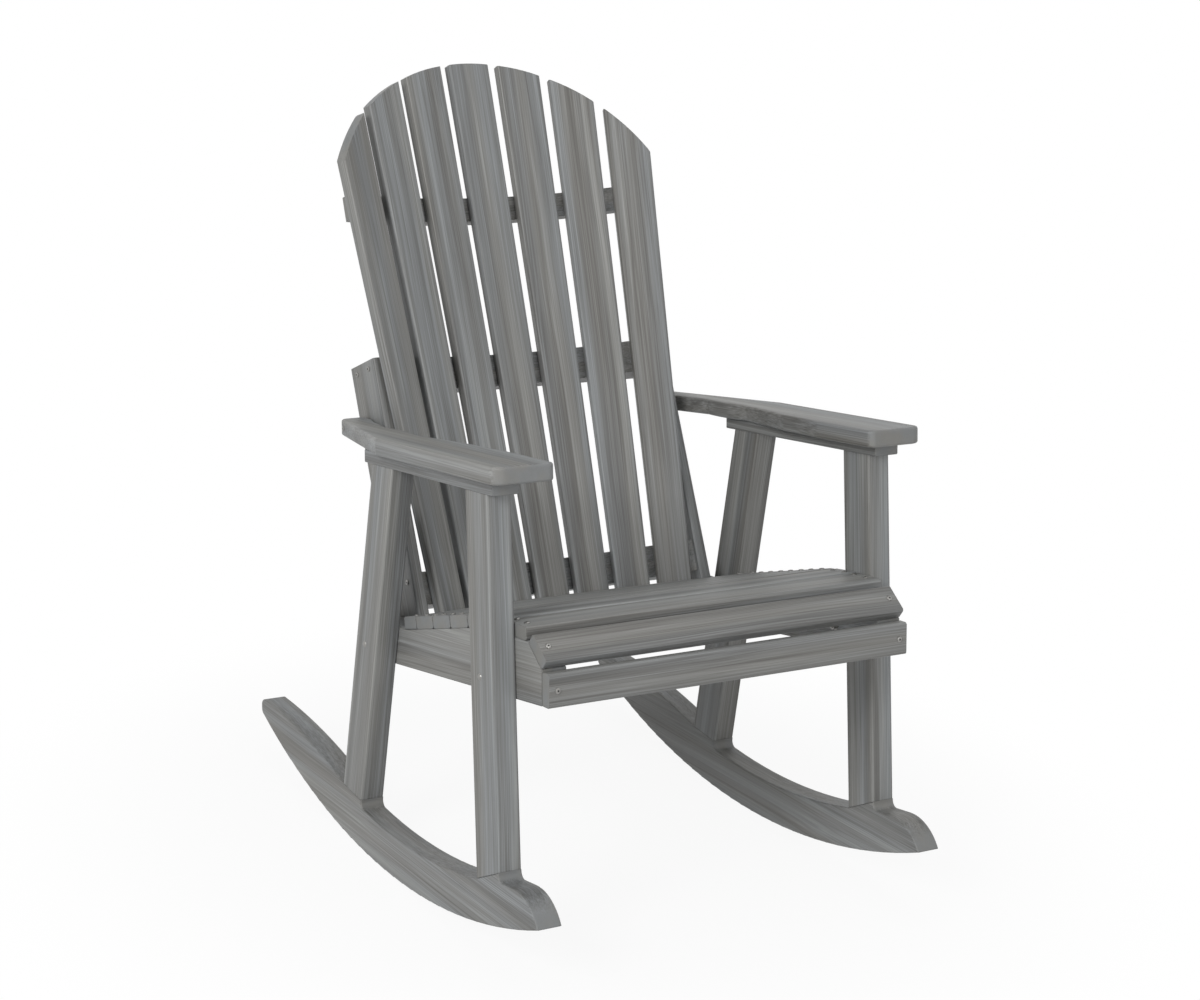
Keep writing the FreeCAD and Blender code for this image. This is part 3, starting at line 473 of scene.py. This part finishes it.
# %% Build the floor
def seen_directly(tree):
    """1 for rays that come from the camera, or by a reflection or through glass."""
    rays = add(tree, "ShaderNodeLightPath", {})
    mirrored = add(tree, "ShaderNodeMath",
                   {0: rays.outputs["Is Glossy Ray"], 1: rays.outputs["Is Transmission Ray"]}, operation="MAXIMUM")
    seen = add(tree, "ShaderNodeMath", {0: rays.outputs["Is Camera Ray"], 1: mirrored.outputs[0]},
               operation="MAXIMUM")
    return seen.outputs[0]


REACH = 14
WHITE = linear("#ffffff")
SHADOW_EDGES = (0.45, 1.0)         # metres from the middle, between which the shadow fades out
GLOW_NEARBY = 0.92

floor_mesh = bpy.data.meshes.new("floor")
floor_corners = [(-REACH, -REACH, 0), (REACH, -REACH, 0), (REACH, REACH, 0), (-REACH, REACH, 0)]
floor_mesh.from_pydata(floor_corners, [], [(0, 1, 2, 3)])
floor = bpy.data.objects.new("floor", floor_mesh)
bpy.context.scene.collection.objects.link(floor)

paper, tree = empty_material("studio_paper")
world = add(tree, "ShaderNodeTexCoord", {})
distance = add(tree, "ShaderNodeVectorMath", {0: world.outputs["Object"]}, operation="LENGTH")
fade = add(tree, "ShaderNodeMapRange",
           {"Value": distance.outputs["Value"], "From Min": SHADOW_EDGES[0], "From Max": SHADOW_EDGES[1],
            "To Min": GLOW_NEARBY, "To Max": 1.0}, interpolation_type="SMOOTHSTEP")
share = add(tree, "ShaderNodeMath", {0: fade.outputs[0], 1: seen_directly(tree)}, operation="MULTIPLY")
matt = add(tree, "ShaderNodeBsdfDiffuse", {"Color": linear("#f0f0f0")})
white = add(tree, "ShaderNodeEmission", {"Color": WHITE, "Strength": 1.0})
mixed = add(tree, "ShaderNodeMixShader", {0: share.outputs[0], 1: matt.outputs[0], 2: white.outputs[0]})
add(tree, "ShaderNodeOutputMaterial", {"Surface": mixed.outputs[0]})
floor_mesh.materials.append(paper)
print("floor spans in metres:", 2 * REACH)

# %% [markdown]
# ## The light
# The photograph has soft light from all round, stronger from the left, and almost no shadow. So the room itself
# gives an even light, and three large soft lamps shape the boards: the key on the left, a weaker one in front and
# one above. The room could be lit by the lamps alone, but then the undersides of the boards would go black.

# %% Light the room
ROOM_LIGHT = 0.27

room = bpy.data.worlds.new("studio")
bpy.context.scene.world = room
room.use_nodes = True
tree = room.node_tree
tree.nodes.clear()
even = add(tree, "ShaderNodeBackground", {"Color": WHITE, "Strength": ROOM_LIGHT})
white = add(tree, "ShaderNodeBackground", {"Color": WHITE, "Strength": 1.0})
mixed = add(tree, "ShaderNodeMixShader", {0: seen_directly(tree), 1: even.outputs[0], 2: white.outputs[0]})
add(tree, "ShaderNodeOutputWorld", {"Surface": mixed.outputs[0]})
bpy.context.scene.view_settings.view_transform = "Standard"
print("even light in the room:", ROOM_LIGHT)

# %% [markdown]
# A square lamp of P watts at d metres makes a surface that faces it shine with P / (pi d)^2 of its own colour. So
# each lamp's power is worked out from its distance and from the share of the light that it should give.

# %% Hang the lamps
LAMPS = {                          # place, width in metres, share of the light
    "key_lamp": ((-4.0, -1.9, 3.0), 1.8, 0.52),
    "front_lamp": ((-0.2, -4.4, 1.8), 1.8, 0.15),
    "top_lamp": ((0.3, -0.4, 4.2), 2.4, 0.20),
}
target = (cad_low + cad_high) / 2
for name, (place, width, share) in LAMPS.items():
    way = target - Vector(place)
    lamp_data = bpy.data.lights.new(name, "AREA")
    lamp_data.shape = "SQUARE"
    lamp_data.size = width
    lamp_data.energy = share * (math.pi * way.length) ** 2
    lamp = bpy.data.objects.new(name, lamp_data)
    lamp.location = place
    lamp.rotation_euler = way.to_track_quat("-Z", "Y").to_euler()
    bpy.context.scene.collection.objects.link(lamp)
    print(name, "watts:", round(lamp_data.energy))
